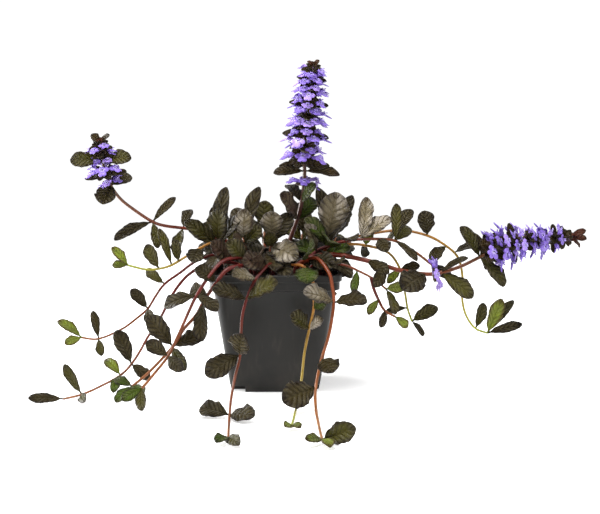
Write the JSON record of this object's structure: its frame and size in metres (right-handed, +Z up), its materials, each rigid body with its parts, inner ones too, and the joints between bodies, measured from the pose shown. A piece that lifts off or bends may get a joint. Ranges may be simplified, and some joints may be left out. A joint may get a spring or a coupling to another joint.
{
  "type": "potted bugleweed",
  "caption": "Bronze-leaved bugleweed in a square nursery pot, with leafy runners that trail down and along the surface, and violet flower spikes.",
  "frame": {"origin": "middle of the pot's base, on the surface it stands on", "axes": "+Z up, -Y towards the plant's best side, +X to its right"},
  "size_m": [0.369, 0.324, 0.223],
  "materials": {
    "pot": "charcoal moulded plastic with a slight sheen, a little dusty",
    "potting_mix": "dark crumbly potting mix of bark and peat",
    "leaf": "puckered bronze-purple to dark green leaf with a waxy sheen, on a burgundy stem",
    "young_leaf": "lime to olive young leaf with dark tips, on an ochre stem",
    "flower_stem": "square red-brown flower stem with green-brown bracts",
    "floret": "thin violet-blue petals, paler at the mouth"
  },
  "bodies": {
    "root": {"pot": "pot", "potting_mix": "potting_mix", "spike_centre_florets": "floret", "spike_centre_low_florets": "floret", "spike_right_florets": "floret", "spike_right_low_florets": "floret", "spike_left_florets": "floret", "spike_left_low_florets": "floret", "spike_centre_stem": "flower_stem", "spike_right_stem": "flower_stem", "spike_left_stem": "flower_stem", "runner_left_upper": "young_leaf", "runner_left_looping": "leaf", "runner_left_long": "leaf", "runner_left_arching": "leaf", "runner_left_hanging": "leaf", "runner_front_left": "leaf", "runner_front_middle": "leaf", "runner_front_right": "leaf", "runner_right_low": "leaf", "runner_right_hanging": "young_leaf", "runner_right_upper": "leaf", "runner_right_far": "young_leaf", "runner_back_left": "leaf", "runner_back_middle": "leaf", "runner_back_right": "young_leaf", "crown_shoot_left": "leaf", "crown_shoot_mid_left": "leaf", "crown_shoot_middle": "leaf", "crown_shoot_mid_right": "leaf", "crown_shoot_right_back": "leaf", "crown_shoot_back_right": "leaf", "crown_shoot_back": "leaf", "crown_shoot_back_left": "leaf"}
  },
  "joints": []
}
